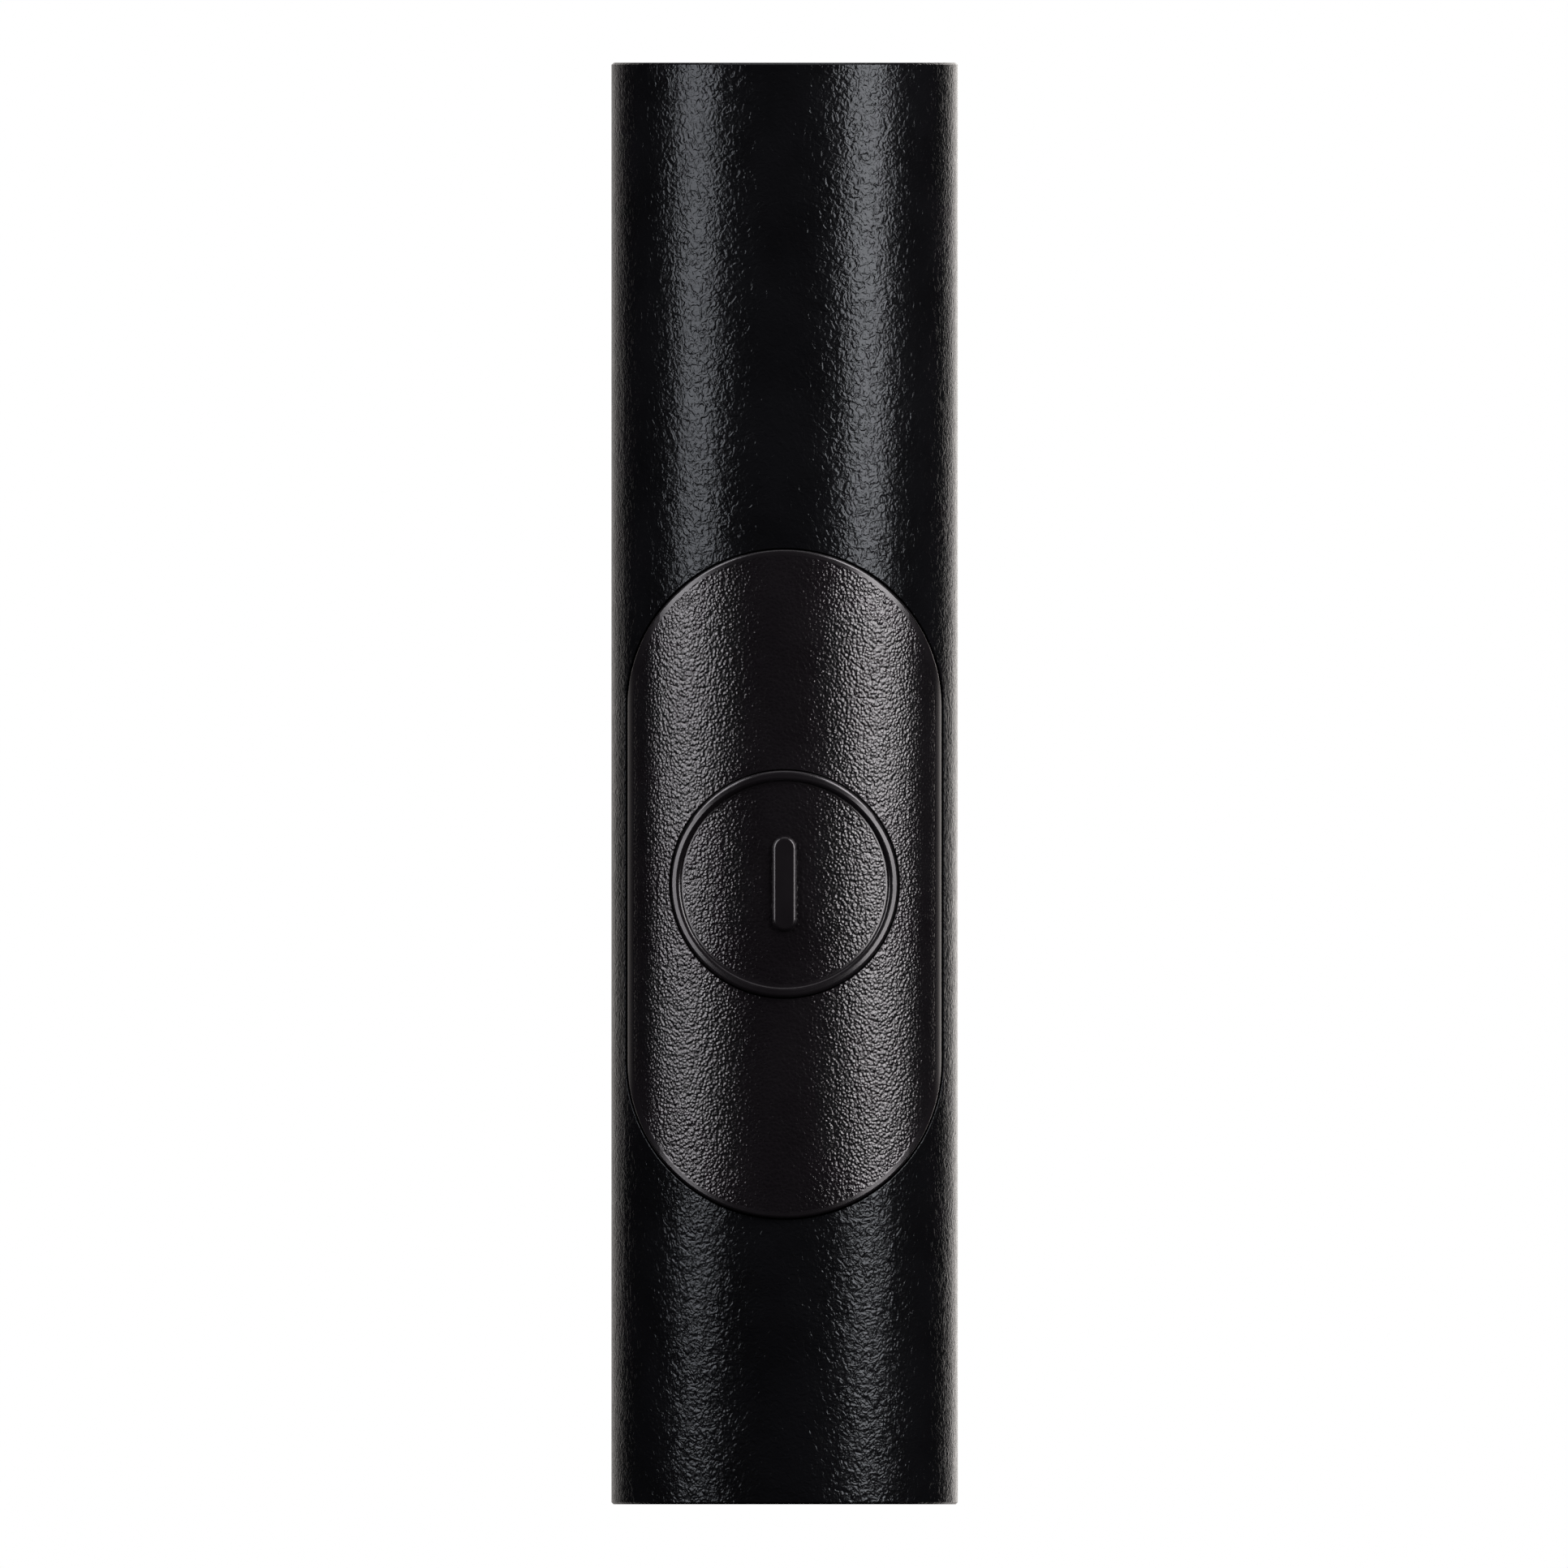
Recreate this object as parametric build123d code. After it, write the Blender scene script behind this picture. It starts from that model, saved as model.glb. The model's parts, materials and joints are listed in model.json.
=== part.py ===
"""Counterfeit detector pen: a short ultraviolet inspection light in a one-piece tube with a thumb switch.

Frame: millimetres, +Z up the tube, origin at the centre of the tail end face. The switch faces -Y and the
pocket clip is on +Y. The pen stands on the rim of its tail.

The tube holds, from the tail up: a screw-in tail cap with its spring, an offset AAA cell in a moulded
cradle with the circuit board on its flat front, a heat sink, the ultraviolet LED on its board, a reflector,
a lens and the ring that keeps the lens in.
"""

import math
import os

from build123d import *

# Driving dimensions: the tube
BARREL_R = 10.0
BARREL_LENGTH = 83.2
BORE_R = 8.6
EDGE_BREAK = 0.12

# Driving dimensions: the switch plate and its button, centred at SWITCH_Z on the -Y side
SWITCH_Z = 35.8
PLATE_WIDTH = 18.1
PLATE_LENGTH = 38.6
PLATE_INNER_R = 8.9
PLATE_GAP = 0.08
PLATE_EDGE_FILLET = 0.16
CROWN_R = 11.2
CROWN_FRONT_Y = -10.28
CROWN_HALF_WIDTH = 7.2
CROWN_SIDE_R = 5.5
POCKET_FLOOR_Y = -3.0
POCKET_LIP_FILLET = 0.05
BUTTON_R = 6.56
BUTTON_GAP = 0.06
BUTTON_SKIN = 1.3
BUTTON_TRAVEL = 1.0
HOLE_LIP_FILLET = 0.05
BEAD_WIDTH = 0.6
BEAD_HEIGHT = 0.24
BEAD_ROOT_Y = -7.6
BAR_WIDTH = 1.36
BAR_LENGTH = 5.5
BAR_HEIGHT = 0.24

# Driving dimensions: the power source, the circuit and the light
CELL_R = 5.25
CELL_LENGTH = 43.7
CELL_NUB_HEIGHT = 0.8
CELL_Y = 3.1
CELL_BOTTOM_Z = 12.3
CRADLE_R = 8.4
CRADLE_FRONT_Y = -2.9
CRADLE_BOTTOM_Z = 12.0
CRADLE_TOP_Z = 62.0
BOARD_THICKNESS = 1.0
BOARD_HALF_WIDTH = 6.6
BOARD_BOTTOM_Z = 19.5
BOARD_TOP_Z = 61.0
SINK_TOP_Z = 67.0
LED_BOARD_THICKNESS = 1.5
LED_BOARD_R = 7.7
REFLECTOR_TOP_Z = 79.2
LENS_THICKNESS = 1.6
LENS_R = 8.1
HEAD_RECESS = 0.3
HEAD_WINDOW_R = 6.5

# Driving dimensions: the tail cap, which screws out along -Z
CAP_RECESS = 0.3
CAP_RIM_R = 8.9
CAP_RIM_THICKNESS = 1.5
CAP_CREST_R = 8.5
CAP_ROOT_R = 8.1
CAP_TOP_Z = 8.7
THREAD_PITCH = 1.0
THREAD_TURNS = 5
CAP_BASE_Z = 3.3
RUNNING_CLEARANCE = 0.05

# Worked out from the dimensions above
PLATE_HALF = PLATE_LENGTH / 2
CROWN_Y = CROWN_FRONT_Y + CROWN_R
BUTTON_SKIN_Y = CROWN_FRONT_Y + BUTTON_SKIN
CELL_TOP_Z = CELL_BOTTOM_Z + CELL_LENGTH
NUB_TOP_Z = CELL_TOP_Z + CELL_NUB_HEIGHT
BOARD_BACK_Y = CRADLE_FRONT_Y
BOARD_FRONT_Y = BOARD_BACK_Y - BOARD_THICKNESS
SWITCH_FRONT_Y = BOARD_FRONT_Y - 2.4
SPRING_SEAT_Y = SWITCH_FRONT_Y - 2.1
PLUNGER_TIP_Y = SWITCH_FRONT_Y - BUTTON_TRAVEL
LED_BOARD_TOP_Z = SINK_TOP_Z + LED_BOARD_THICKNESS
LENS_TOP_Z = REFLECTOR_TOP_Z + LENS_THICKNESS
HEAD_TOP_Z = BARREL_LENGTH - HEAD_RECESS

PARTS_FOLDER = "parts"


# ---------------------------------------------------------------- helpers


def rod(radius, bottom, top, x=0.0, y=0.0):
    """A cylinder along Z between two heights."""
    return Pos(x, y, (bottom + top) / 2) * Cylinder(radius, top - bottom)


def ring(outer, inner, bottom, top):
    """A plain ring along Z."""
    return rod(outer, bottom, top) - rod(inner, bottom, top)


def block(x0, x1, y0, y1, z0, z1):
    """A box between two corners."""
    centre = Pos((x0 + x1) / 2, (y0 + y1) / 2, (z0 + z1) / 2)
    return centre * Box(x1 - x0, y1 - y0, z1 - z0)


def front_plane(y, z=SWITCH_Z, x=0.0):
    """A plane whose normal is -Y, with its own y axis along +Z."""
    return Plane(origin=(x, y, z), x_dir=(1, 0, 0), z_dir=(0, -1, 0))


def front_prism(sketch, back_y, front_y, z=SWITCH_Z, x=0.0):
    """A sketch drawn on a front plane and extruded from back_y forward to front_y."""
    return extrude(front_plane(back_y, z, x) * sketch, amount=back_y - front_y)


def back_prism(sketch, near_y, far_y, z, x=0.0):
    """A sketch drawn on a plane that faces +Y and extruded from near_y out to far_y."""
    plane = Plane(origin=(x, near_y, z), x_dir=(-1, 0, 0), z_dir=(0, 1, 0))
    return extrude(plane * sketch, amount=far_y - near_y)


def stadium(width, length):
    """A slot outline, upright, with full-round ends."""
    return SlotOverall(length, width, rotation=90)


def edges_where(shape, test):
    """The edges of a shape whose ends and middle all pass a test on a point."""
    return [edge for edge in shape.edges() if all(test(edge @ t) for t in (0, 0.5, 1))]


def on_crown(extra):
    """A test for points on the plate's middle arc, raised by some height."""
    return lambda p: abs(math.hypot(p.X, p.Y - CROWN_Y) - CROWN_R - extra) < 1e-3


def on_stadium_rim(width, length, lowest_y):
    """A test for points on an upright stadium outline about the switch, and in front of a depth."""
    straight = (length - width) / 2

    def test(p):
        beyond = max(abs(p.Z - SWITCH_Z) - straight, 0)
        return p.Y < lowest_y and abs(math.hypot(p.X, beyond) - width / 2) < 1e-3

    return test


def on_hole_lip(p):
    """A test for points where the button's opening meets the plate's middle arc."""
    from_axis = math.hypot(p.X, p.Z - SWITCH_Z)
    return on_crown(0)(p) and abs(from_axis - BUTTON_R - BUTTON_GAP) < 1e-3


def top_circles(shape):
    """The circular edges at the top of a shape, smallest first."""
    return shape.edges().filter_by(GeomType.CIRCLE).group_by(Axis.Z)[-1].sort_by(SortBy.RADIUS)


def coil(radius, top_radius, pitch, height, wire):
    """A helical spring along Z from z = 0, straight-sided or tapered."""
    cone = math.degrees(math.atan2(top_radius - radius, height))
    path = Helix(pitch=pitch, height=height, radius=radius, cone_angle=cone)
    section = Plane(origin=path @ 0, z_dir=path % 0) * Circle(wire / 2)
    return sweep(section, path=path, is_frenet=True)


def pan_screw(shank_r, head_r, head_height, length, slot_width):
    """A slotted pan-head screw along Z: the head stands on z = 0 and the shank hangs below it."""
    head = chamfer(rod(head_r, 0, head_height).edges().group_by(Axis.Z)[-1], head_height * 0.3)
    slot = block(-head_r, head_r, -slot_width / 2, slot_width / 2, head_height * 0.5, head_height)
    return head - slot + rod(shank_r, -length, 0)


# ---------------------------------------------------------------- tube and switch plate

CLIP_SCREW_ZS = (73.2, 78.4)
CLIP_SCREW_SHANK_R = 0.9
CLIP_THICKNESS = 0.8
CLIP_ROOT_INNER_R = BARREL_R + 0.02
CAP_THREAD_ZS = [3.9 + THREAD_PITCH * i for i in range(THREAD_TURNS)]


def barrel():
    """One-piece tube with the switch pocket, the tail counterbore and the two clip screw holes."""
    tube = rod(BARREL_R, 0, BARREL_LENGTH)
    tube = chamfer(tube.edges().filter_by(GeomType.CIRCLE), EDGE_BREAK)
    width, length = PLATE_WIDTH + 2 * PLATE_GAP, PLATE_LENGTH + 2 * PLATE_GAP
    tube -= front_prism(stadium(width, length), POCKET_FLOOR_Y, -BARREL_R - 2)
    lip = edges_where(tube, on_stadium_rim(width, length, POCKET_FLOOR_Y - 0.3))
    tube = fillet([edge for edge in lip if edge.length > 2], POCKET_LIP_FILLET)
    tube -= rod(BORE_R, 0, BARREL_LENGTH)
    tube -= rod(CAP_RIM_R + 0.1, 0, CAP_RECESS + CAP_RIM_THICKNESS + 0.1)
    for z in CAP_THREAD_ZS:
        tube -= rod(BORE_R + 0.3, z - 0.2, z + 0.2)
    for z in CLIP_SCREW_ZS:
        tube -= back_prism(Circle(CLIP_SCREW_SHANK_R), BORE_R - 1, BARREL_R + 1, z)
    return tube


def crown():
    """A bar along Z with the plate's section: a flat arc in the middle and tighter arcs at the sides."""
    turn = math.asin(CROWN_HALF_WIDTH / CROWN_R)
    side_x = CROWN_HALF_WIDTH - CROWN_SIDE_R * math.sin(turn)
    side_y = CROWN_Y - (CROWN_R - CROWN_SIDE_R) * math.cos(turn)

    def on_side(angle):
        return side_x + CROWN_SIDE_R * math.sin(angle), side_y - CROWN_SIDE_R * math.cos(angle)

    right = [on_side(turn), on_side((turn + math.pi / 2) / 2), on_side(math.pi / 2)]
    left = [(-x, y) for x, y in right]
    outline = [
        ThreePointArc(left[0], (0, CROWN_FRONT_Y), right[0]),
        ThreePointArc(*right),
        Polyline(right[2], (right[2][0], 0), (left[2][0], 0), left[2]),
        ThreePointArc(*reversed(left)),
    ]
    return extrude(make_face(outline), amount=BARREL_LENGTH)


HOOK_HALF_WIDTH = 2.0
HOOK_BACK_Y = -7.0
HOOK_BARB_FRONT_Y = -8.2
HOOK_INSET = 0.7
HOOK_THICKNESS = 1.2
HOOK_BARB_REACH = 0.9


def snap_hook(side):
    """A tongue at one end of the switch plate, with a barb that catches behind the tube wall."""
    end = SWITCH_Z + side * PLATE_HALF
    inner = end - side * (HOOK_INSET + HOOK_THICKNESS)
    low, high = sorted((inner, end - side * HOOK_INSET))
    half = HOOK_HALF_WIDTH
    tongue = block(-half, half, -PLATE_INNER_R - 0.3, HOOK_BACK_Y, low, high)
    low, high = sorted((inner, end + side * HOOK_BARB_REACH))
    barb = block(-half, half, HOOK_BARB_FRONT_Y, HOOK_BACK_Y, low, high)
    return tongue + barb


def switch_plate():
    """Stadium-shaped moulded plate, a little proud of the tube, with the round opening for the button."""
    plate = crown() & front_prism(stadium(PLATE_WIDTH, PLATE_LENGTH), POCKET_FLOOR_Y, -BARREL_R - 2)
    rim = edges_where(plate, on_stadium_rim(PLATE_WIDTH, PLATE_LENGTH, POCKET_FLOOR_Y - 0.3))
    plate = fillet([edge for edge in rim if edge.length > 2], PLATE_EDGE_FILLET)
    plate -= rod(PLATE_INNER_R, 0, BARREL_LENGTH)
    plate -= front_prism(Circle(BUTTON_R + BUTTON_GAP), POCKET_FLOOR_Y, -BARREL_R - 2)
    plate = fillet(edges_where(plate, on_hole_lip), HOLE_LIP_FILLET)
    return plate + snap_hook(1) + snap_hook(-1)


# ---------------------------------------------------------------- button and switch

SWITCH_WIDTH = 7.0
SWITCH_WELL_DEPTH = 1.9
SWITCH_LEG_Z = 2.0
SWITCH_LEG_WIDTH = 0.8
SWITCH_LEG_LENGTH = 0.8
SWITCH_LEG_THICKNESS = 0.25
PLUNGER_WIDTH = 3.0
PLUNGER_LENGTH = 1.7
BUTTON_SPRING_R = 2.65
BUTTON_SPRING_WIRE = 0.3
BUTTON_SKIRT_WALL = 0.9
BUTTON_BOSS_R = 3.5
BUTTON_STEM_R = 1.6
TAB_HALF_WIDTH = 1.5
TAB_FRONT_Y = -8.62
TAB_BACK_Y = -8.0
TAB_ROOT = 0.6
TAB_REACH = 0.9


def crown_rod(raised):
    """A cylinder along Z that carries the plate's middle arc, raised by some height."""
    return rod(CROWN_R + raised, 0, BARREL_LENGTH, y=CROWN_Y)


def raised_mark(sketch, height, root_y):
    """A mark that stands on the button and follows its curve, from a depth in the button to a height."""
    return front_prism(sketch, root_y, -BARREL_R - 3) & crown_rod(height)


def power_button():
    """Round button with a raised bead at its rim and a raised bar, both following the plate's curve.

    Two tabs behind the plate keep it from falling out.
    """
    body = front_prism(Circle(BUTTON_R), SWITCH_FRONT_Y - 0.5, -BARREL_R - 2) & crown_rod(0)
    hollow = front_prism(Circle(BUTTON_R - BUTTON_SKIRT_WALL), SWITCH_FRONT_Y + 1, -BARREL_R - 2)
    body -= hollow & crown_rod(-BUTTON_SKIN)
    bead = raised_mark(Circle(BUTTON_R) - Circle(BUTTON_R - BEAD_WIDTH), BEAD_HEIGHT, BEAD_ROOT_Y)
    bead = fillet(edges_where(bead, on_crown(BEAD_HEIGHT)), BEAD_HEIGHT * 0.85)
    bar = raised_mark(stadium(BAR_WIDTH, BAR_LENGTH), BAR_HEIGHT, BUTTON_SKIN_Y)
    bar = fillet(edges_where(bar, on_crown(BAR_HEIGHT)), BAR_HEIGHT * 0.9)
    boss = front_prism(Circle(BUTTON_BOSS_R), SPRING_SEAT_Y, BUTTON_SKIN_Y - 0.2)
    stem = front_prism(Circle(BUTTON_STEM_R), PLUNGER_TIP_Y, SPRING_SEAT_Y)
    button = body + bead + bar + boss + stem
    for side in (-1, 1):
        root, tip = BUTTON_R - TAB_ROOT, BUTTON_R + TAB_REACH
        low, high = sorted((SWITCH_Z + side * root, SWITCH_Z + side * tip))
        button += block(-TAB_HALF_WIDTH, TAB_HALF_WIDTH, TAB_FRONT_Y, TAB_BACK_Y, low, high)
    return button


def switch_housing():
    """Push-push switch: a square case soldered to the board, with a well for the plunger."""
    case = front_prism(Rectangle(SWITCH_WIDTH, SWITCH_WIDTH), BOARD_FRONT_Y, SWITCH_FRONT_Y)
    case = chamfer(case.edges().filter_by(Axis.Y), 0.5)
    well = PLUNGER_WIDTH + 0.2
    case -= front_prism(Rectangle(well, well), SWITCH_FRONT_Y + SWITCH_WELL_DEPTH, SWITCH_FRONT_Y - 1)
    for z in (-SWITCH_LEG_Z, SWITCH_LEG_Z):
        leg = Rectangle(SWITCH_WIDTH + 2 * SWITCH_LEG_LENGTH, SWITCH_LEG_WIDTH)
        case += front_prism(leg, BOARD_FRONT_Y, BOARD_FRONT_Y - SWITCH_LEG_THICKNESS, SWITCH_Z + z)
    return case


def switch_plunger():
    """Square plunger that the button's stem pushes into the switch."""
    outline = Rectangle(PLUNGER_WIDTH, PLUNGER_WIDTH)
    return front_prism(outline, PLUNGER_TIP_Y + PLUNGER_LENGTH, PLUNGER_TIP_Y)


def button_spring():
    """Return spring round the plunger, between the switch case and the button."""
    wire = BUTTON_SPRING_WIRE
    height = SWITCH_FRONT_Y - SPRING_SEAT_Y - wire - 2 * RUNNING_CLEARANCE
    spring = coil(BUTTON_SPRING_R, BUTTON_SPRING_R, height / 2.5, height, wire)
    return Pos(0, SWITCH_FRONT_Y - RUNNING_CLEARANCE - wire / 2, SWITCH_Z) * Rot(90, 0, 0) * spring


# ---------------------------------------------------------------- cradle, cell and circuit

BOARD_SCREW_POINTS = [(x, z) for x in (-5.3, 5.3) for z in (21.3, 59.2)]
BOARD_SCREW_SHANK_R = 0.7
INDUCTOR_WIDTH = 4.0
INDUCTOR_HEIGHT = 1.9
INDUCTOR_Z = 50.3
CHIP_Z = 44.6
SINK_SCREW_XS = (-6.2, 6.2)
SINK_SCREW_Y = 2.0
SINK_SCREW_SINKING = 1.3
SINK_SCREW_SHANK_R = 0.9
WIRE_R = 0.4
WIRE_X = 1.6
WIRE_SLOT_Y = -6.4
CONTACT_THICKNESS = 0.3
CONTACT_BOTTOM_Z = NUB_TOP_Z
GROUND_Z = 54.6


def cell_cradle():
    """Moulded cradle: a D-shaped block with the cell's channel open at the back, and a flat front."""
    cradle = rod(CRADLE_R, CRADLE_BOTTOM_Z, CRADLE_TOP_Z)
    cradle -= block(-10, 10, -10, CRADLE_FRONT_Y, CRADLE_BOTTOM_Z, CRADLE_TOP_Z)
    cradle -= rod(CELL_R + 0.2, CRADLE_BOTTOM_Z - 1, CONTACT_BOTTOM_Z + CONTACT_THICKNESS, y=CELL_Y)
    cradle -= block(-3.6, 3.6, 5.0, 10, CRADLE_BOTTOM_Z - 1, CONTACT_BOTTOM_Z + CONTACT_THICKNESS)
    cradle -= block(-1.6, 1.6, -4, 0, CONTACT_BOTTOM_Z, CONTACT_BOTTOM_Z + CONTACT_THICKNESS)
    for x, z in BOARD_SCREW_POINTS:
        cradle -= front_prism(Circle(BOARD_SCREW_SHANK_R), CRADLE_FRONT_Y + 3, CRADLE_FRONT_Y - 1, z, x)
    for x in SINK_SCREW_XS:
        cradle -= rod(SINK_SCREW_SHANK_R, CRADLE_TOP_Z - 6, CRADLE_TOP_Z, x, SINK_SCREW_Y)
    return cradle


CELL_WRAP_THICKNESS = 0.1


def battery_can():
    """Steel can of the AAA cell, with its raised positive end."""
    can = rod(CELL_R - CELL_WRAP_THICKNESS, CELL_BOTTOM_Z, CELL_TOP_Z, y=CELL_Y)
    can = fillet(can.edges().filter_by(GeomType.CIRCLE), 0.4)
    nub = rod(1.9, CELL_TOP_Z - 0.4, NUB_TOP_Z, y=CELL_Y)
    return can + fillet(nub.edges().group_by(Axis.Z)[-1], 0.3)


def battery_wrap():
    """Film sleeve shrunk round the cell, short of both of its ends."""
    low, high = CELL_BOTTOM_Z + 0.6, CELL_TOP_Z - 0.5
    return rod(CELL_R, low, high, y=CELL_Y) - rod(CELL_R - CELL_WRAP_THICKNESS, low, high, y=CELL_Y)


def positive_contact():
    """Strip from the cell's nub forward to the circuit board."""
    top = CONTACT_BOTTOM_Z + CONTACT_THICKNESS
    pad = block(-2.4, 2.4, 1.0, CELL_Y + 2.2, CONTACT_BOTTOM_Z, top)
    return pad + block(-1.5, 1.5, CRADLE_FRONT_Y, 1.0, CONTACT_BOTTOM_Z, top)


def circuit_board():
    """Driver board on the cradle's flat front."""
    board = block(
        -BOARD_HALF_WIDTH, BOARD_HALF_WIDTH, BOARD_FRONT_Y, BOARD_BACK_Y, BOARD_BOTTOM_Z, BOARD_TOP_Z
    )
    board = fillet(board.edges().filter_by(Axis.Y), 0.8)
    for x, z in BOARD_SCREW_POINTS:
        board -= front_prism(Circle(BOARD_SCREW_SHANK_R + 0.1), BOARD_BACK_Y + 1, BOARD_FRONT_Y - 1, z, x)
    return board


def on_board(width, height, depth, x, z):
    """A component's block standing on the board's front face."""
    return front_prism(Rectangle(width, height), BOARD_FRONT_Y, BOARD_FRONT_Y - depth, z, x)


def boost_inductor():
    """Shielded coil of the voltage booster."""
    body = on_board(INDUCTOR_WIDTH, INDUCTOR_WIDTH, INDUCTOR_HEIGHT, 0, INDUCTOR_Z)
    return chamfer(body.edges().filter_by(Axis.Y), 0.6)


def driver_chip():
    """LED driver chip with its six legs."""
    chip = on_board(1.7, 2.9, 1.1, 0, CHIP_Z)
    for side in (-1, 1):
        for z in (-0.95, 0, 0.95):
            chip += on_board(0.6, 0.4, 0.3, side * 1.1, CHIP_Z + z)
    return chip


def board_passives():
    """Capacitors and resistors, each its own block."""
    places = [(-3.6, 44.2), (3.6, 44.2), (-4.2, 47.0), (4.2, 47.0), (-2.2, 26.4), (0, 26.4), (2.2, 26.4)]
    return Compound([on_board(0.9, 1.7, 0.8, x, z) for x, z in places])


def board_screws():
    """Four screws that hold the circuit board to the cradle."""
    screw = pan_screw(BOARD_SCREW_SHANK_R, 1.15, 0.6, 3.4, 0.3)
    face = [front_plane(BOARD_FRONT_Y, z, x) for x, z in BOARD_SCREW_POINTS]
    return Compound([plane * screw for plane in face])


def ground_spring():
    """Leaf between cradle and tube that carries the tube's negative side to the board's front face."""
    skin = 0.2
    low, high = GROUND_Z - 1.0, GROUND_Z + 1.0
    edge_x = BOARD_HALF_WIDTH + 0.3
    leaf = ring(BORE_R - 0.02, CRADLE_R + 0.02, GROUND_Z - 3, GROUND_Z + 3)
    leaf &= block(0, BORE_R, CRADLE_FRONT_Y - skin, 0.5, GROUND_Z - 3, GROUND_Z + 3)
    sole = block(edge_x, 7.95, CRADLE_FRONT_Y - skin, CRADLE_FRONT_Y, low, high)
    riser = block(edge_x, edge_x + skin, BOARD_FRONT_Y - skin, CRADLE_FRONT_Y, low, high)
    foot = block(5.4, edge_x + skin, BOARD_FRONT_Y - skin, BOARD_FRONT_Y, low, high)
    return leaf + sole + riser + foot


def led_wire(side):
    """Insulated lead from the driver board up through the heat sink's slot to the LED board."""
    x = side * WIRE_X
    flat_y = BOARD_FRONT_Y - WIRE_R - RUNNING_CLEARANCE
    end_z = LED_BOARD_TOP_Z + WIRE_R + RUNNING_CLEARANCE
    points = [
        (x, flat_y, 55.5),
        (x, flat_y, 58.2),
        (x, WIRE_SLOT_Y, 61.2),
        (x, WIRE_SLOT_Y, end_z),
        (x, WIRE_SLOT_Y + 1.9, end_z),
    ]
    path = FilletPolyline(*points, radius=[2.0, 2.0, 0.9])
    section = Plane(origin=path @ 0, z_dir=path % 0) * Circle(WIRE_R)
    return sweep(section, path=path)


# ---------------------------------------------------------------- head

LED_SCREW_XS = (-6.2, 6.2)
LED_SCREW_Y = -2.4
LED_CENTRE_Z = LED_BOARD_TOP_Z + 0.8


def lead_slot(bottom, top):
    """The notch in the front of the heat sink and LED board that the two leads pass through."""
    return block(-WIRE_X - 1, WIRE_X + 1, -BORE_R - 0.4, WIRE_SLOT_Y + 1.1, bottom, top)


def heat_sink():
    """Aluminium plug behind the LED, slotted for the leads."""
    sink = rod(BORE_R - RUNNING_CLEARANCE, CRADLE_TOP_Z, SINK_TOP_Z)
    sink = chamfer(sink.edges().filter_by(GeomType.CIRCLE), 0.3)
    sink -= lead_slot(CRADLE_TOP_Z, SINK_TOP_Z)
    for x in SINK_SCREW_XS:
        sink -= rod(SINK_SCREW_SHANK_R + 0.1, CRADLE_TOP_Z, SINK_TOP_Z, x, SINK_SCREW_Y)
        sink -= rod(1.8, SINK_TOP_Z - SINK_SCREW_SINKING, SINK_TOP_Z, x, SINK_SCREW_Y)
    for x in LED_SCREW_XS:
        sink -= rod(0.7, SINK_TOP_Z - 2.5, SINK_TOP_Z, x, LED_SCREW_Y)
    return sink


def sink_screws():
    """Two screws that tie the heat sink to the cradle, their heads sunk below the LED board."""
    screw = pan_screw(SINK_SCREW_SHANK_R, 1.65, 1.1, 8.0, 0.5)
    seat_z = SINK_TOP_Z - SINK_SCREW_SINKING
    return Compound([Pos(x, SINK_SCREW_Y, seat_z) * screw for x in SINK_SCREW_XS])


def led_board():
    """Metal-cored round board that carries the LED."""
    board = rod(LED_BOARD_R, SINK_TOP_Z, LED_BOARD_TOP_Z)
    board -= lead_slot(SINK_TOP_Z, LED_BOARD_TOP_Z)
    for x in LED_SCREW_XS:
        board -= rod(0.8, SINK_TOP_Z, LED_BOARD_TOP_Z, x, LED_SCREW_Y)
    return board


def led_board_screws():
    """Two screws that hold the LED board down."""
    screw = pan_screw(0.7, 1.2, 0.6, 4.0, 0.3)
    return Compound([Pos(x, LED_SCREW_Y, LED_BOARD_TOP_Z) * screw for x in LED_SCREW_XS])


def led_package():
    """Square ceramic base of the ultraviolet LED."""
    base = block(-1.75, 1.75, -1.75, 1.75, LED_BOARD_TOP_Z, LED_CENTRE_Z)
    return chamfer(base.edges().filter_by(Axis.Z), 0.2)


def led_dome():
    """Clear dome over the LED's chip."""
    return Pos(0, 0, LED_CENTRE_Z) * (Sphere(1.45) & Pos(0, 0, 1) * Box(4, 4, 2))


def reflector():
    """Parabolic cup: a thin shell that opens upwards round the LED."""
    base_z, wall = LED_BOARD_TOP_Z, 0.7
    mouth_r, throat_r = 7.6, 2.5
    curve = (REFLECTOR_TOP_Z - base_z) / (mouth_r**2 - throat_r**2)

    def inner(r):
        return (r, base_z + curve * (r**2 - throat_r**2))

    radii = [throat_r + (mouth_r - throat_r) * i / 4 for i in range(5)]
    cup = Spline(*[inner(r) for r in radii])
    skin = Spline(*[(r + wall, inner(r)[1]) for r in radii])
    floor = Line(cup @ 0, skin @ 0)
    brim = Line(cup @ 1, skin @ 1)
    profile = make_face([cup, brim, skin, floor])
    return revolve(Plane.XZ * profile, axis=Axis.Z)


def lens():
    """Flat glass window with polished bevels."""
    return chamfer(rod(LENS_R, REFLECTOR_TOP_Z, LENS_TOP_Z).edges().filter_by(GeomType.CIRCLE), 0.2)


SEAL_R = 0.44
LENS_SEAL_CENTRE_R = 7.45


def lens_seal():
    """Rubber ring between the lens and the ring above it."""
    return Pos(0, 0, LENS_TOP_Z + SEAL_R + 0.01) * Torus(LENS_SEAL_CENTRE_R, SEAL_R)


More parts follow.
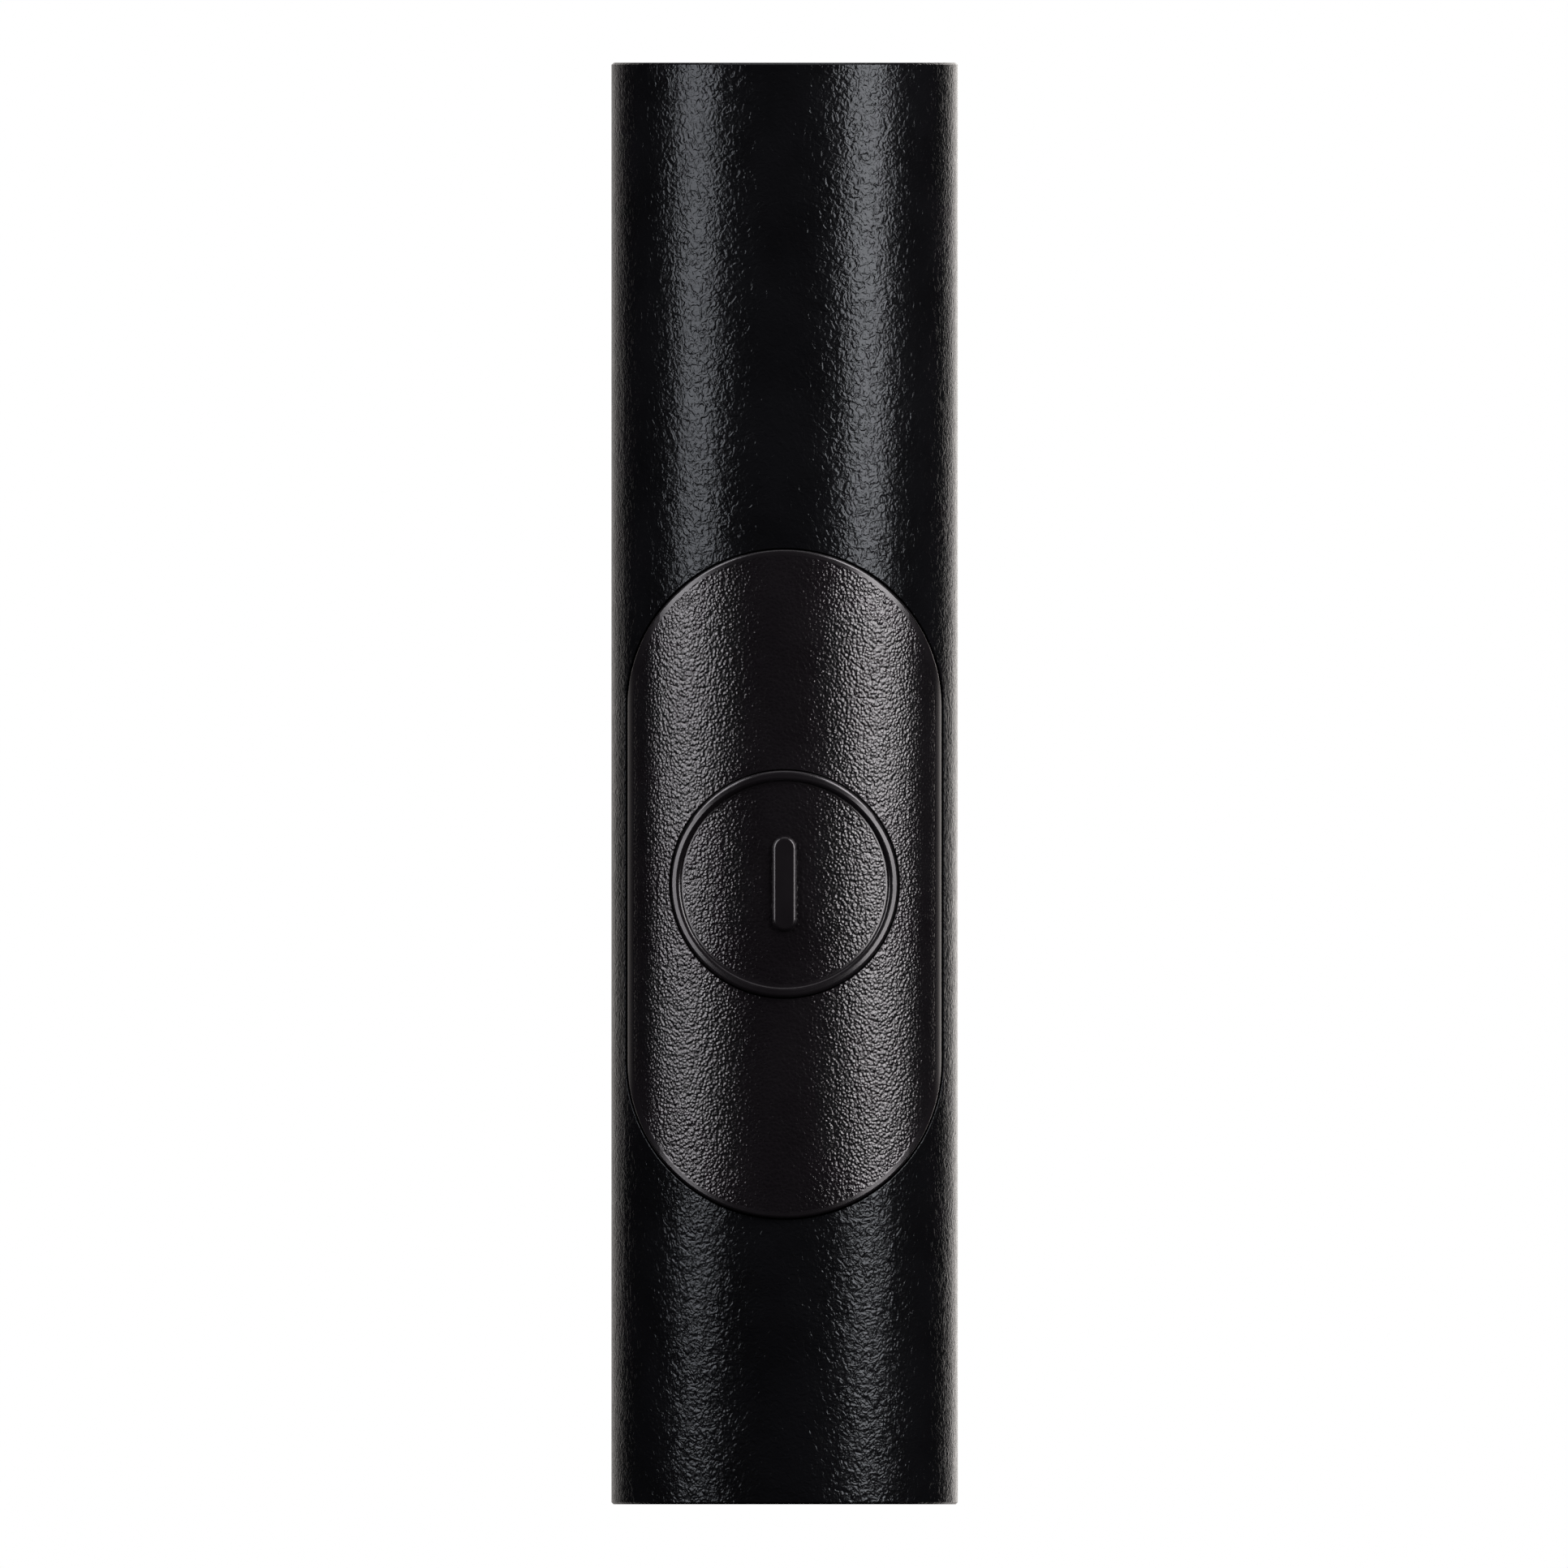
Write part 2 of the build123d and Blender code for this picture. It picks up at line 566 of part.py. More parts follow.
def lens_ring():
    """Threaded ring that keeps the lens in, with two spanner notches."""
    collar = ring(BORE_R - RUNNING_CLEARANCE, HEAD_WINDOW_R, LENS_TOP_Z + 0.02, HEAD_TOP_Z)
    collar = chamfer(top_circles(collar)[0], 0.6)
    collar = chamfer(top_circles(collar)[-1], 0.15)
    rebate_top = LENS_TOP_Z + 2 * SEAL_R + 0.06
    collar -= ring(LENS_SEAL_CENTRE_R + 0.5, LENS_SEAL_CENTRE_R - 0.5, LENS_TOP_Z, rebate_top)
    for side in (-1, 1):
        x0, x1 = sorted((side * (HEAD_WINDOW_R + 0.9), side * (BORE_R - 0.6)))
        collar -= block(x0, x1, -0.6, 0.6, HEAD_TOP_Z - 0.7, HEAD_TOP_Z)
    return collar


# ---------------------------------------------------------------- pocket clip

CLIP_TOP_Z = 81.2
CLIP_ROOT_Z = 70.4
CLIP_TOE_Z = 33.5
CLIP_ROOT_WIDTH = 6.4
CLIP_ARM_WIDTH = 5.0
CLIP_STANDOFF = 1.9
CLIP_TOE_GAP = 0.25


def pocket_clip():
    """Bent spring-steel clip: a root curved round the tube, an arm that stands off, and a toe."""
    root = ring(CLIP_ROOT_INNER_R + CLIP_THICKNESS, CLIP_ROOT_INNER_R, CLIP_ROOT_Z, CLIP_TOP_Z)
    root_length = CLIP_TOP_Z - CLIP_ROOT_Z
    root_outline = RectangleRounded(CLIP_ROOT_WIDTH, root_length, 1.6)
    root &= back_prism(root_outline, 0, BARREL_R + 5, (CLIP_TOP_Z + CLIP_ROOT_Z) / 2)
    mid_y = CLIP_ROOT_INNER_R + CLIP_THICKNESS / 2
    bends = [
        (mid_y, CLIP_ROOT_Z + 2.5),
        (mid_y, CLIP_ROOT_Z - 0.8),
        (mid_y + CLIP_STANDOFF, CLIP_ROOT_Z - 4.6),
        (mid_y + CLIP_STANDOFF, CLIP_TOE_Z + 8.0),
        (mid_y + CLIP_TOE_GAP, CLIP_TOE_Z + 3.0),
        (mid_y + CLIP_STANDOFF, CLIP_TOE_Z),
    ]
    path = Plane.YZ * FilletPolyline(*bends, radius=1.8)
    start = Plane(origin=path @ 0, x_dir=(1, 0, 0), z_dir=path % 0)
    arm = sweep(start * Rectangle(CLIP_ARM_WIDTH, CLIP_THICKNESS), path=path)
    arm_top = CLIP_ROOT_Z + 2.5
    arm_outline = RectangleRounded(CLIP_ARM_WIDTH, arm_top - CLIP_TOE_Z + 2, 1.8)
    arm &= back_prism(arm_outline, BORE_R, BARREL_R + 8, (arm_top + CLIP_TOE_Z) / 2)
    clip = root + arm - rod(CLIP_ROOT_INNER_R, CLIP_ROOT_Z, CLIP_TOP_Z)
    for z in CLIP_SCREW_ZS:
        clip -= back_prism(Circle(CLIP_SCREW_SHANK_R + 0.1), BORE_R, BARREL_R + 5, z)
    return clip


def clip_screws():
    """Two screws that hold the clip to the tube."""
    seat_y = CLIP_ROOT_INNER_R + CLIP_THICKNESS
    screw = pan_screw(CLIP_SCREW_SHANK_R, 1.6, 0.7, seat_y - BORE_R - 0.05, 0.4)
    back = [Plane(origin=(0, seat_y, z), x_dir=(-1, 0, 0), z_dir=(0, 1, 0)) for z in CLIP_SCREW_ZS]
    return Compound([plane * screw for plane in back])


# ---------------------------------------------------------------- tail cap

CAP_SEAL_Z = 2.75
CAP_SEAL_R = 0.42
CAP_SEAL_CENTRE_R = BORE_R - RUNNING_CLEARANCE - CAP_SEAL_R
DISC_THICKNESS = 0.5
SPRING_WIRE = 0.5
SPRING_BASE_R = 4.3
SPRING_TIP_R = 1.65
SPRING_TURNS = 5
COIN_SLOT_WIDTH = 1.8
COIN_SLOT_LENGTH = 12.4
COIN_SLOT_DEPTH = 1.1
CAP_WALL_INNER_R = 6.4


def tail_cap():
    """Screw-in cap with a coin slot. Plain ridges stand for its thread."""
    rim_top = CAP_RECESS + CAP_RIM_THICKNESS
    rim = rod(CAP_RIM_R, CAP_RECESS, rim_top)
    rim = chamfer(rim.edges().filter_by(GeomType.CIRCLE).group_by(Axis.Z)[0], 0.3)
    cap = rim + rod(CAP_ROOT_R, rim_top, CAP_TOP_Z)
    cap = chamfer(cap.edges().filter_by(GeomType.CIRCLE).group_by(Axis.Z)[-1], 0.3)
    for z in CAP_THREAD_ZS:
        blank = rod(CAP_CREST_R, z - 0.35, z + 0.35)
        cap += chamfer(blank.edges().filter_by(GeomType.CIRCLE), 0.25)
    seal_half = CAP_SEAL_R + RUNNING_CLEARANCE
    groove_r = CAP_SEAL_CENTRE_R - CAP_SEAL_R - RUNNING_CLEARANCE
    cap -= ring(CAP_RIM_R, groove_r, CAP_SEAL_Z - seal_half, CAP_SEAL_Z + seal_half)
    cap -= rod(CAP_WALL_INNER_R, CAP_BASE_Z, CAP_TOP_Z)
    slot_x, slot_y = COIN_SLOT_LENGTH / 2, COIN_SLOT_WIDTH / 2
    cap -= block(-slot_x, slot_x, -slot_y, slot_y, CAP_RECESS, CAP_RECESS + COIN_SLOT_DEPTH)
    return cap - ring(7.5, 7.25, CAP_RECESS, CAP_RECESS + 0.2)


def tail_seal():
    """Rubber ring in the cap's groove."""
    return Pos(0, 0, CAP_SEAL_Z) * Torus(CAP_SEAL_CENTRE_R, CAP_SEAL_R)


def contact_disc():
    """Brass disc in the bottom of the cap, which the spring stands on."""
    disc = rod(6.2, CAP_BASE_Z, CAP_BASE_Z + DISC_THICKNESS)
    collar = ring(SPRING_BASE_R - 0.4, SPRING_BASE_R - 0.9, CAP_BASE_Z, CAP_BASE_Z + DISC_THICKNESS + 0.4)
    return disc + collar


def tail_spring():
    """Tapered spring that carries the cell's negative side to the cap."""
    low = CAP_BASE_Z + DISC_THICKNESS + SPRING_WIRE / 2 + 0.02
    high = CELL_BOTTOM_Z - SPRING_WIRE / 2 - 0.1
    pitch = (high - low) / SPRING_TURNS
    spring = coil(SPRING_BASE_R, SPRING_TIP_R, pitch, high - low, SPRING_WIRE)
    return Pos(0, 0, low) * spring


NODES = {
    "barrel": barrel,
    "switch_plate": switch_plate,
    "power_button": power_button,
    "switch_plunger": switch_plunger,
    "button_spring": button_spring,
    "switch_housing": switch_housing,
    "circuit_board": circuit_board,
    "boost_inductor": boost_inductor,
    "driver_chip": driver_chip,
    "board_passives": board_passives,
    "board_screws": board_screws,
    "ground_spring": ground_spring,
    "cell_cradle": cell_cradle,
    "battery_can": battery_can,
    "battery_wrap": battery_wrap,
    "positive_contact": positive_contact,
    "led_wire_red": lambda: led_wire(1),
    "led_wire_black": lambda: led_wire(-1),
    "heat_sink": heat_sink,
    "sink_screws": sink_screws,
    "led_board": led_board,
    "led_board_screws": led_board_screws,
    "led_package": led_package,
    "led_dome": led_dome,
    "reflector": reflector,
    "lens": lens,
    "lens_seal": lens_seal,
    "lens_ring": lens_ring,
    "pocket_clip": pocket_clip,
    "clip_screws": clip_screws,
    "tail_cap": tail_cap,
    "tail_seal": tail_seal,
    "contact_disc": contact_disc,
    "tail_spring": tail_spring,
}

os.makedirs(PARTS_FOLDER, exist_ok=True)
for node, make in NODES.items():
    export_step(make(), f"{PARTS_FOLDER}/{node}.step")
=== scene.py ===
"""Looks for the counterfeit detector pen: materials, the button's return spring, light, floor and camera."""
import json
import math

import bmesh
import bpy
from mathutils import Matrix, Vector

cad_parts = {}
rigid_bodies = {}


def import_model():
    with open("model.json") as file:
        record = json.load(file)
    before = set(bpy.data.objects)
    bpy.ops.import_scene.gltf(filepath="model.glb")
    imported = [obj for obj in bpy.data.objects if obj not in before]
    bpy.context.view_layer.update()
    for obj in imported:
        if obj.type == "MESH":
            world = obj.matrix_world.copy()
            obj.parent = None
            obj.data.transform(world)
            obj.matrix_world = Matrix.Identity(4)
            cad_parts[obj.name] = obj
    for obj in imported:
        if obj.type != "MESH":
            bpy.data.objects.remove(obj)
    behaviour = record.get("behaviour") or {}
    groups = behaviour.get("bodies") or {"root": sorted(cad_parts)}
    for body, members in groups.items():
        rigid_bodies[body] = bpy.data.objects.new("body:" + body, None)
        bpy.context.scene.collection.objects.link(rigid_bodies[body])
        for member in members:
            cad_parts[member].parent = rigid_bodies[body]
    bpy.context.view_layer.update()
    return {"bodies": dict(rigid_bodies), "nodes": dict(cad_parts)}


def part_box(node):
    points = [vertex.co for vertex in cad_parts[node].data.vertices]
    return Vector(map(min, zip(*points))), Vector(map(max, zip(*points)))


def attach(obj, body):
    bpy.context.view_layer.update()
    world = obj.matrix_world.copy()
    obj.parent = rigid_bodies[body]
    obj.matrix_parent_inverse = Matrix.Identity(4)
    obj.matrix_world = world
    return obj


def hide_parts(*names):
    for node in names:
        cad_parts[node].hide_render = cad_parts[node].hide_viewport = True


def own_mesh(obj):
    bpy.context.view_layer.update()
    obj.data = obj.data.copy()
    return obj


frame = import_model()
NODES = frame["nodes"]
MM = 0.001


# ---------------------------------------------------------------- node helpers


class Tree:
    """A material's node tree, with short calls for the nodes used here."""

    def __init__(self, name):
        self.material = bpy.data.materials.new(name)
        self.material.use_nodes = True
        self.tree = self.material.node_tree
        self.tree.nodes.clear()
        self.shader = self.add("ShaderNodeBsdfPrincipled")
        output = self.add("ShaderNodeOutputMaterial")
        self.join(self.shader.outputs[0], output.inputs["Surface"])
        self.place = self.add("ShaderNodeTexCoord").outputs["Object"]

    def add(self, kind, **settings):
        node = self.tree.nodes.new(kind)
        for key, value in settings.items():
            setattr(node, key, value)
        return node

    def join(self, source, target):
        self.tree.links.new(source, target)

    def feed(self, target, value):
        """Links a socket, or sets a plain value."""
        if isinstance(value, bpy.types.NodeSocket):
            self.join(value, target)
        else:
            target.default_value = value

    def maths(self, operation, *values):
        node = self.add("ShaderNodeMath", operation=operation)
        for socket, value in zip(node.inputs, values):
            self.feed(socket, value)
        return node.outputs[0]

    def stretched(self, x, y, z):
        """Object coordinates scaled along each axis."""
        node = self.add("ShaderNodeMapping")
        node.inputs["Scale"].default_value = (x, y, z)
        self.join(self.place, node.inputs["Vector"])
        return node.outputs[0]

    def noise(self, size_mm, detail=2.0, distortion=0.0, place=None):
        """Noise whose features are about size_mm across, from 0 to 1."""
        node = self.add("ShaderNodeTexNoise")
        node.inputs["Scale"].default_value = 1 / (size_mm * MM)
        node.inputs["Detail"].default_value = detail
        node.inputs["Roughness"].default_value = 0.5
        node.inputs["Distortion"].default_value = distortion
        self.join(place or self.place, node.inputs["Vector"])
        return node.outputs[0]

    def cells(self, size_mm, smooth):
        """Smoothed Voronoi distance with cells about size_mm across."""
        node = self.add("ShaderNodeTexVoronoi", feature="SMOOTH_F1")
        node.inputs["Scale"].default_value = 1 / (size_mm * MM)
        node.inputs["Smoothness"].default_value = smooth
        self.join(self.place, node.inputs["Vector"])
        return node.outputs["Distance"]

    def remap(self, value, low, high, to_low=0.0, to_high=1.0):
        node = self.add("ShaderNodeMapRange", interpolation_type="SMOOTHSTEP")
        self.join(value, node.inputs["Value"])
        node.inputs["From Min"].default_value = low
        node.inputs["From Max"].default_value = high
        node.inputs["To Min"].default_value = to_low
        node.inputs["To Max"].default_value = to_high
        return node.outputs[0]

    def blend(self, factor, first, second):
        """A colour between two colours."""
        node = self.add("ShaderNodeMix", data_type="RGBA")
        self.feed(node.inputs[0], factor)
        self.feed(node.inputs[6], first)
        self.feed(node.inputs[7], second)
        return node.outputs[2]

    def bump(self, height, depth_mm, after=None):
        node = self.add("ShaderNodeBump")
        node.inputs["Strength"].default_value = 1.0
        node.inputs["Distance"].default_value = depth_mm * MM
        self.join(height, node.inputs["Height"])
        if after is not None:
            self.join(after, node.inputs["Normal"])
        return node.outputs[0]

    def split(self):
        node = self.add("ShaderNodeSeparateXYZ")
        self.join(self.place, node.inputs[0])
        return node.outputs


def rgb(red, green, blue):
    return (red, green, blue, 1.0)


def tone(colour, factor):
    """A colour made lighter or darker."""
    return tuple(min(1.0, c * factor) for c in colour[:3]) + (1.0,)


def plain_set(shader, **values):
    """Sets sockets by name: under_scores stand for spaces."""
    for key, value in values.items():
        shader.inputs[key.replace("_", " ")].default_value = value


def general(name, colour, rough, metallic=0.0, mottle=0.12, mottle_mm=2.5, grain_mm=0.2,
            grain_depth_mm=0.004, rough_spread=0.06, brushed=None):
    """A material with mottled colour, uneven roughness and a fine grain, brushed along one axis or not."""
    t = Tree(name)
    place = t.stretched(*brushed) if brushed else None
    patches = t.noise(mottle_mm, 3.0)
    colour_out = t.blend(t.remap(patches, 0.3, 0.7), tone(colour, 1 - mottle), tone(colour, 1 + mottle))
    t.join(colour_out, t.shader.inputs["Base Color"])
    smudges = t.noise(mottle_mm * 0.7, 4.0, place=place)
    uneven = t.remap(smudges, 0.3, 0.7, rough - rough_spread, rough + rough_spread)
    t.join(uneven, t.shader.inputs["Roughness"])
    t.join(t.bump(t.noise(grain_mm, 2.0, place=place), grain_depth_mm), t.shader.inputs["Normal"])
    plain_set(t.shader, Metallic=metallic)
    return t.material


# ---------------------------------------------------------------- the black outside: coat, plate and button

BUTTON_LOW, BUTTON_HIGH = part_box("power_button")
SWITCH_Z = (BUTTON_LOW.z + BUTTON_HIGH.z) / 2
BUTTON_R = BUTTON_HIGH.x
PLATE_HALF_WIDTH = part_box("switch_plate")[1].x
PLATE_HALF_STRAIGHT = 10.25 * MM
SMOOTH_BORDER = 0.30 * MM
BEAD_WIDTH = 0.6 * MM
BEAD_FOOT = 0.08 * MM
BAR_HALF_WIDTH = 0.68 * MM
BAR_HALF_STRAIGHT = 2.07 * MM
MASK_FADE = 0.1 * MM
RIDGE_MM = 0.42
RIDGE_DEPTH_MM = 0.05
UNEVENNESS_MM = 0.9
UNEVENNESS_DEPTH_MM = 0.014
PIP_MM = 0.19
PIT_MM = 0.12
SPARK_DEPTH_MM = 0.032
SMOOTH_SKIN_ROUGHNESS = 0.26


def stadium_distance(t, half_straight):
    """Distance from the upright middle line of a stadium centred on the switch, seen from the front."""
    x, _, z = t.split()
    beyond = t.maths("SUBTRACT", t.maths("ABSOLUTE", t.maths("SUBTRACT", z, SWITCH_Z)), half_straight)
    beyond = t.maths("MAXIMUM", beyond, 0.0)
    squares = t.maths("ADD", t.maths("MULTIPLY", x, x), t.maths("MULTIPLY", beyond, beyond))
    return t.maths("SQRT", squares)


def coat():
    """Powder coat: short curling ridges of orange peel over a slower unevenness."""
    t = Tree("barrel_coat")
    warp = t.noise(UNEVENNESS_MM, 2.0)
    ridges = t.noise(RIDGE_MM, 1.0, distortion=1.4)
    fine = t.noise(0.2, 1.0, distortion=0.6)
    height = t.maths("ADD", ridges, t.maths("MULTIPLY", fine, 0.3))
    normal = t.bump(height, RIDGE_DEPTH_MM, after=t.bump(warp, UNEVENNESS_DEPTH_MM))
    t.join(normal, t.shader.inputs["Normal"])
    patches = t.remap(t.noise(4.0, 3.0), 0.3, 0.7)
    black = t.blend(patches, rgb(0.0072, 0.0071, 0.0085), rgb(0.0102, 0.0101, 0.0122))
    t.join(black, t.shader.inputs["Base Color"])
    t.join(t.remap(t.noise(1.2, 3.0), 0.3, 0.7, 0.17, 0.22), t.shader.inputs["Roughness"])
    plain_set(t.shader, Specular_IOR_Level=0.5, Specular_Tint=rgb(0.89, 0.925, 1.0))
    return t.material


def sparked(name, mask_of):
    """Moulded plastic with a fine sparked grain wherever the mask is 1, and a smooth skin elsewhere."""
    t = Tree(name)
    mask = mask_of(t)
    pips = t.cells(PIP_MM, 0.15)
    pits = t.noise(PIT_MM, 2.0)
    height = t.maths("ADD", t.maths("MULTIPLY", pips, -1.0), t.maths("MULTIPLY", pits, 0.7))
    height = t.maths("MULTIPLY", height, mask)
    t.join(t.bump(height, SPARK_DEPTH_MM), t.shader.inputs["Normal"])
    patches = t.remap(t.noise(3.0, 3.0), 0.3, 0.7)
    black = t.blend(patches, rgb(0.0138, 0.0112, 0.0140), rgb(0.0184, 0.0154, 0.0187))
    t.join(black, t.shader.inputs["Base Color"])
    grainy = t.maths("MULTIPLY", t.remap(pips, 0.12, 0.62, 0.07, 0.19), mask)
    smooth = t.maths("MULTIPLY", t.maths("SUBTRACT", 1.0, mask), SMOOTH_SKIN_ROUGHNESS)
    wear = t.remap(t.noise(0.5, 3.0), 0.3, 0.7, -0.01, 0.01)
    t.join(t.maths("ADD", t.maths("ADD", grainy, smooth), wear), t.shader.inputs["Roughness"])
    plain_set(t.shader, IOR=1.62, Specular_IOR_Level=1.0, Specular_Tint=rgb(1.0, 0.96, 1.0))
    return t.material


def plate_mask(t):
    """0 on the smooth border round the plate, 1 inside it."""
    out = stadium_distance(t, PLATE_HALF_STRAIGHT)
    edge = PLATE_HALF_WIDTH - SMOOTH_BORDER
    return t.remap(out, edge - MASK_FADE, edge, 1.0, 0.0)


def button_mask(t):
    """0 on the button's bead and on its bar, 1 between them."""
    radius = stadium_distance(t, 0.0)
    inner = BUTTON_R - BEAD_WIDTH - BEAD_FOOT
    in_bead = t.remap(radius, inner - MASK_FADE, inner, 1.0, 0.0)
    bar = stadium_distance(t, BAR_HALF_STRAIGHT)
    off_bar = t.remap(bar, BAR_HALF_WIDTH, BAR_HALF_WIDTH + MASK_FADE)
    return t.maths("MULTIPLY", in_bead, off_bar)


# ---------------------------------------------------------------- other materials


def glass(name, colour, rough, ior):
    """Clear glass or silicone with faint wipe marks."""
    t = Tree(name)
    wipes = t.noise(1.5, 4.0, place=t.stretched(1.0, 0.2, 1.0))
    t.join(t.remap(wipes, 0.45, 0.75, rough, rough + 0.03), t.shader.inputs["Roughness"])
    t.join(t.bump(t.noise(0.8, 2.0), 0.0004), t.shader.inputs["Normal"])
    plain_set(t.shader, Base_Color=colour, Transmission_Weight=1.0, IOR=ior)
    return t.material


def board_look(name, mask_colour, copper_colour):
    """Solder mask over copper tracks that run in straight lanes."""
    t = Tree(name)
    lanes = t.add("ShaderNodeTexBrick", offset=0.5)
    turned = t.add("ShaderNodeMapping")
    turned.inputs["Rotation"].default_value = (math.pi / 2, 0, 0)
    t.join(t.place, turned.inputs["Vector"])
    t.join(turned.outputs[0], lanes.inputs["Vector"])
    lanes.inputs["Scale"].default_value = 1 / (2.4 * MM)
    lanes.inputs["Mortar Size"].default_value = 0.07
    lanes.inputs["Color1"].default_value = mask_colour
    lanes.inputs["Color2"].default_value = tone(mask_colour, 1.25)
    lanes.inputs["Mortar"].default_value = copper_colour
    t.join(lanes.outputs["Color"], t.shader.inputs["Base Color"])
    raised = t.maths("ADD", lanes.outputs["Fac"], t.maths("MULTIPLY", t.noise(0.3, 3.0), 0.3))
    t.join(t.bump(raised, 0.02), t.shader.inputs["Normal"])
    t.join(t.remap(t.noise(2.0, 3.0), 0.3, 0.7, 0.28, 0.42), t.shader.inputs["Roughness"])
    return t.material


def banded_sleeve(name):
    """Plain cell sleeve: a dark body with a pale band towards the positive end."""
    low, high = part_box("battery_wrap")
    length = high.z - low.z
    t = Tree(name)
    _, _, z = t.split()
    band = t.remap(z, low.z + 0.74 * length, low.z + 0.745 * length)
    foil = t.blend(t.remap(t.noise(2.0, 3.0), 0.3, 0.7), rgb(0.40, 0.42, 0.43), rgb(0.52, 0.54, 0.55))
    film = t.blend(t.remap(t.noise(2.5, 3.0), 0.3, 0.7), rgb(0.018, 0.10, 0.13), rgb(0.024, 0.125, 0.16))
    t.join(t.blend(band, film, foil), t.shader.inputs["Base Color"])
    t.join(t.remap(t.noise(1.5, 4.0), 0.3, 0.7, 0.2, 0.32), t.shader.inputs["Roughness"])
    t.join(t.bump(t.noise(1.8, 3.0), 0.006), t.shader.inputs["Normal"])
    plain_set(t.shader, Metallic=0.35, Coat_Weight=0.4)
    return t.material


STEEL = rgb(0.56, 0.55, 0.53)
BRASS = rgb(0.72, 0.52, 0.24)
ALONG_Z = (1.0, 1.0, 0.06)
ROUND_Z = (0.15, 0.15, 1.0)

LOOKS = {
    "barrel": coat(),
    "switch_plate": sparked("plate_plastic", plate_mask),
    "power_button": sparked("button_plastic", button_mask),
    "switch_plunger": general("switch_stem", rgb(0.55, 0.53, 0.48), 0.42, grain_mm=0.15),
    "switch_housing": general("switch_case", rgb(0.02, 0.02, 0.022), 0.45, grain_mm=0.12,
                              grain_depth_mm=0.006),
    "circuit_board": board_look("board_mask", rgb(0.006, 0.055, 0.03), rgb(0.02, 0.12, 0.05)),
    "boost_inductor": general("ferrite", rgb(0.035, 0.034, 0.036), 0.55, grain_mm=0.1, grain_depth_mm=0.008),
    "driver_chip": general("chip_resin", rgb(0.014, 0.014, 0.015), 0.5, grain_mm=0.08, grain_depth_mm=0.004),
    "board_passives": general("ceramic_parts", rgb(0.42, 0.29, 0.18), 0.4, mottle=0.2, mottle_mm=1.0),
    "cell_cradle": general("cradle_nylon", rgb(0.028, 0.029, 0.031), 0.5, grain_mm=0.25, grain_depth_mm=0.01),
    "battery_wrap": banded_sleeve("cell_sleeve"),
    "led_wire_red": general("lead_red", rgb(0.45, 0.02, 0.018), 0.38, grain_mm=0.4),
    "led_wire_black": general("lead_black", rgb(0.014, 0.014, 0.015), 0.38, grain_mm=0.4),
    "heat_sink": general("turned_aluminium", rgb(0.78, 0.79, 0.80), 0.3, 1.0, brushed=ROUND_Z,
                         grain_depth_mm=0.003),
    "led_board": general("led_board_mask", rgb(0.78, 0.79, 0.77), 0.35, mottle=0.04, grain_mm=0.5),
    "led_package": general("led_ceramic", rgb(0.86, 0.84, 0.78), 0.4, mottle=0.05, mottle_mm=0.8),
    "led_dome": glass("led_silicone", rgb(0.93, 0.95, 1.0), 0.03, 1.41),
    "reflector": general("chromed_cup", rgb(0.92, 0.92, 0.93), 0.07, 1.0, mottle=0.02, rough_spread=0.03,
                         grain_mm=0.5, grain_depth_mm=0.004),
    "lens": glass("window_glass", rgb(0.97, 0.985, 1.0), 0.015, 1.5),
    "lens_seal": general("seal_rubber", rgb(0.012, 0.012, 0.013), 0.55, grain_mm=0.15, grain_depth_mm=0.006),
    "lens_ring": general("ring_anodised", rgb(0.016, 0.016, 0.018), 0.32, 0.6, brushed=ROUND_Z,
                         grain_depth_mm=0.003),
    "pocket_clip": general("clip_steel", rgb(0.22, 0.22, 0.23), 0.3, 1.0, brushed=ALONG_Z,
                           mottle=0.08, grain_mm=0.1, grain_depth_mm=0.0022, rough_spread=0.05),
    "tail_cap": general("cap_anodised", rgb(0.016, 0.016, 0.018), 0.34, 0.5, brushed=ROUND_Z,
                        grain_depth_mm=0.003),
    "contact_disc": general("contact_brass", BRASS, 0.25, 1.0, brushed=ROUND_Z),
}
LOOKS["clip_screws"] = general("black_screw", rgb(0.05, 0.05, 0.053), 0.3, 1.0, mottle_mm=0.8,
                               grain_mm=0.12, grain_depth_mm=0.001)
LOOKS["tail_seal"] = LOOKS["lens_seal"]
for node_name in ("battery_can", "positive_contact"):
    LOOKS[node_name] = general(node_name + "_nickel", rgb(0.66, 0.65, 0.62), 0.24, 1.0, brushed=ALONG_Z)
for node_name in ("board_screws", "sink_screws", "led_board_screws"):
    LOOKS[node_name] = general(node_name + "_steel", tone(STEEL, 0.9), 0.28, 1.0, mottle_mm=0.8,
                               grain_mm=0.15, grain_depth_mm=0.001)
for node_name in ("button_spring", "ground_spring", "tail_spring"):
    LOOKS[node_name] = general(node_name + "_wire", tone(STEEL, 1.1), 0.2, 1.0, mottle_mm=1.2, grain_mm=0.1)


def dress(obj, look):
    obj.data.materials.clear()
    obj.data.materials.append(look)


def placed(name, data):
    """A new object for some data, linked to the scene."""
    obj = bpy.data.objects.new(name, data)
    bpy.context.scene.collection.objects.link(obj)
    return obj


for node_name, obj in NODES.items():
    dress(obj, LOOKS[node_name])


# ---------------------------------------------------------------- the button's return spring

SPRING_WIRE_R = 0.15 * MM
SPRING_COIL_TURNS = 3
STEPS_PER_TURN = 48
WIRE_SIDES = 12
FLAT_SHARE = 0.1


